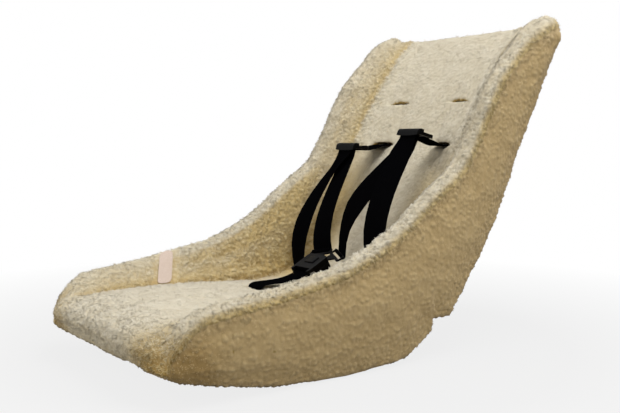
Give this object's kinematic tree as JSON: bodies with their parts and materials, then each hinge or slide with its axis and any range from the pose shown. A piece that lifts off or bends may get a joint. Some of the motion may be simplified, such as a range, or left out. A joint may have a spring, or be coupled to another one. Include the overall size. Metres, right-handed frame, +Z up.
{
  "type": "cargo bike baby seat",
  "caption": "Plush-covered foam bucket seat with a reclined back, raised side walls, a stepped underside and a black webbing harness with a push-button buckle.",
  "frame": {"origin": "middle of the seat's footprint in plan, on the surface it stands on", "axes": "+X to the seated child's left, +Y from the nose to the backrest, +Z up"},
  "size_m": [0.3494, 0.6176, 0.4469],
  "materials": {
    "plush": "matte",
    "plush_back": "matte",
    "foam": "matte",
    "board": "matte",
    "webbing": "matte",
    "black_plastic": "satin",
    "steel": "satin",
    "ribbon": "satin"
  },
  "bodies": {
    "seat": {"back_board": "board", "base_board": "board", "buckle_back": "black_plastic", "buckle_bar": "steel", "buckle_front": "black_plastic", "buckle_screw_left": "steel", "buckle_screw_right": "steel", "care_label": "ribbon", "cover_back": "plush_back", "cover_base": "plush_back", "cover_liner": "plush", "cover_side_left": "plush_back", "cover_side_right": "plush_back", "crotch_anchor_rod": "steel", "crotch_strap": "webbing", "foam_backrest": "foam", "foam_floor": "foam", "foam_side_left": "foam", "foam_side_right": "foam", "harness_strap_left": "webbing", "harness_strap_right": "webbing", "hip_anchor_rod_left": "steel", "hip_anchor_rod_right": "steel", "latch_spring": "steel", "shoulder_anchor_rod_left": "steel", "shoulder_anchor_rod_right": "steel", "shoulder_strap_left": "webbing", "shoulder_strap_right": "webbing", "zip_coil_lower": "black_plastic", "zip_coil_upper": "black_plastic", "zip_stop_left": "steel", "zip_stop_right": "steel", "zip_tape": "webbing"},
    "adjuster_left": {"adjuster_left": "black_plastic"},
    "adjuster_right": {"adjuster_right": "black_plastic"},
    "release_button": {"release_button": "black_plastic"},
    "latch": {"buckle_latch": "steel"},
    "tongue_left": {"tongue_left": "black_plastic"},
    "tongue_right": {"tongue_right": "black_plastic"},
    "zip_slider": {"zip_slider": "steel"},
    "zip_pull": {"zip_pull": "steel"}
  },
  "joints": [
    {"name": "adjuster_left_tilt", "type": "hinge", "parent": "seat", "child": "adjuster_left", "pos_m": [0.0635, 0.15751, 0.282], "axis": [-1, 0, 0], "range_deg": [0, 35], "deforming": ["harness_strap_left", "shoulder_strap_left"]},
    {"name": "adjuster_right_tilt", "type": "hinge", "parent": "seat", "child": "adjuster_right", "pos_m": [-0.0635, 0.14951, 0.266], "axis": [-1, 0, 0], "range_deg": [0, 35], "deforming": ["harness_strap_right", "shoulder_strap_right"]},
    {"name": "button_press", "type": "slide", "parent": "seat", "child": "release_button", "axis": [0, 0.4695, -0.8829], "range_m": [0, 0.0024], "stiffness_N_per_m": 1500, "springref_m": -0.004, "deforming": ["latch_spring"]},
    {"name": "latch_drop", "type": "slide", "parent": "seat", "child": "latch", "axis": [0, 0.4695, -0.8829], "range_m": [0, 0.0024], "deforming": ["latch_spring"]},
    {"name": "tongue_left_play", "type": "slide", "parent": "seat", "child": "tongue_left", "axis": [0, 0.8829, 0.4695], "range_m": [-0.0012, 0], "deforming": ["harness_strap_left"]},
    {"name": "tongue_right_play", "type": "slide", "parent": "seat", "child": "tongue_right", "axis": [0, 0.8829, 0.4695], "range_m": [-0.0012, 0], "deforming": ["harness_strap_right"]},
    {"name": "zip_slide", "type": "slide", "parent": "seat", "child": "zip_slider", "axis": [1, 0, 0], "range_m": [0, 0.2218]},
    {"name": "zip_pull_swing", "type": "hinge", "parent": "zip_slider", "child": "zip_pull", "pos_m": [-0.1109, 0.15329, 0.09541], "axis": [0, 0.5958, 0.8031], "range_deg": [-90, 90]}
  ],
  "couplings": [
    {"joint": "latch_drop", "follows": "button_press", "ratio": 1}
  ]
}
